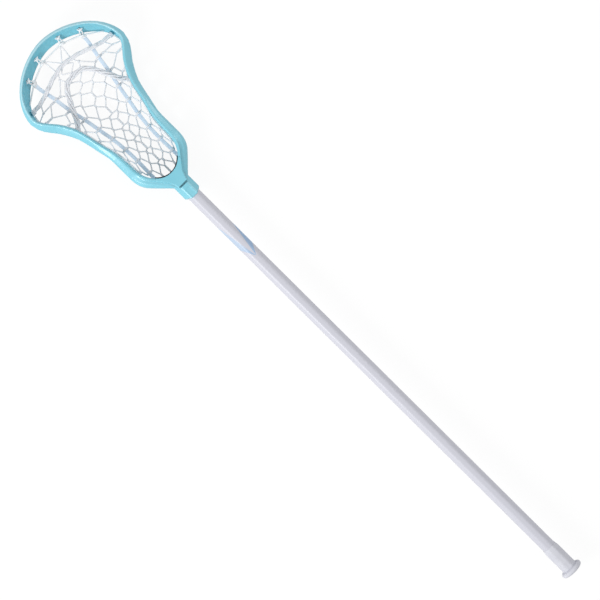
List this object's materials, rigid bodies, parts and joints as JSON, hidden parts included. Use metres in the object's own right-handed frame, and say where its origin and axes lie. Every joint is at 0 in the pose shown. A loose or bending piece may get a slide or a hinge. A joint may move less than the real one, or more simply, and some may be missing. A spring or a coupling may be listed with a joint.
{
  "type": "lacrosse stick",
  "caption": "Lacrosse stick with a flared moulded head, strung runner pocket, shooting strings, octagonal shaft and rubber butt cap, for catching, carrying and throwing a ball.",
  "frame": {"origin": "middle of the stick's length and width, on the level of the lowest point of the head's side rails", "axes": "+Y along the shaft towards the scoop, +Z out of the open face of the head, +X across the head"},
  "size_m": [0.191, 1.092, 0.0453],
  "materials": {
    "head_nylon": "satin injection-moulded nylon, pale turquoise",
    "stop_foam": "matte closed-cell foam, black",
    "screw_steel": "plain zinc-plated steel",
    "shaft_metal": "drawn aluminium tube, pearl white paint with two plain pale stripes",
    "cap_rubber": "matte moulded rubber, off-white",
    "runner_strap": "soft synthetic leather thong, pale blue",
    "shooting_cord": "thick braided nylon cord, white",
    "lace_cord": "braided nylon sidewall lace, white",
    "net_cord": "waxed braided nylon cord, bluish white"
  },
  "bodies": {
    "root": {"head": "head_nylon", "ball_stop": "stop_foam", "head_screw": "screw_steel", "shaft": "shaft_metal", "butt_cap": "cap_rubber", "left_runner": "runner_strap", "right_runner": "runner_strap", "upper_shooting_string": "shooting_cord", "lower_shooting_string": "shooting_cord", "scoop_lace": "lace_cord", "scoop_ties": "lace_cord", "crown_net": "net_cord", "centre_net": "net_cord", "left_side_net": "net_cord", "right_side_net": "net_cord", "left_sidewall_lace": "lace_cord", "right_sidewall_lace": "lace_cord", "throat_lace": "lace_cord", "runner_knots": "runner_strap"}
  },
  "joints": []
}
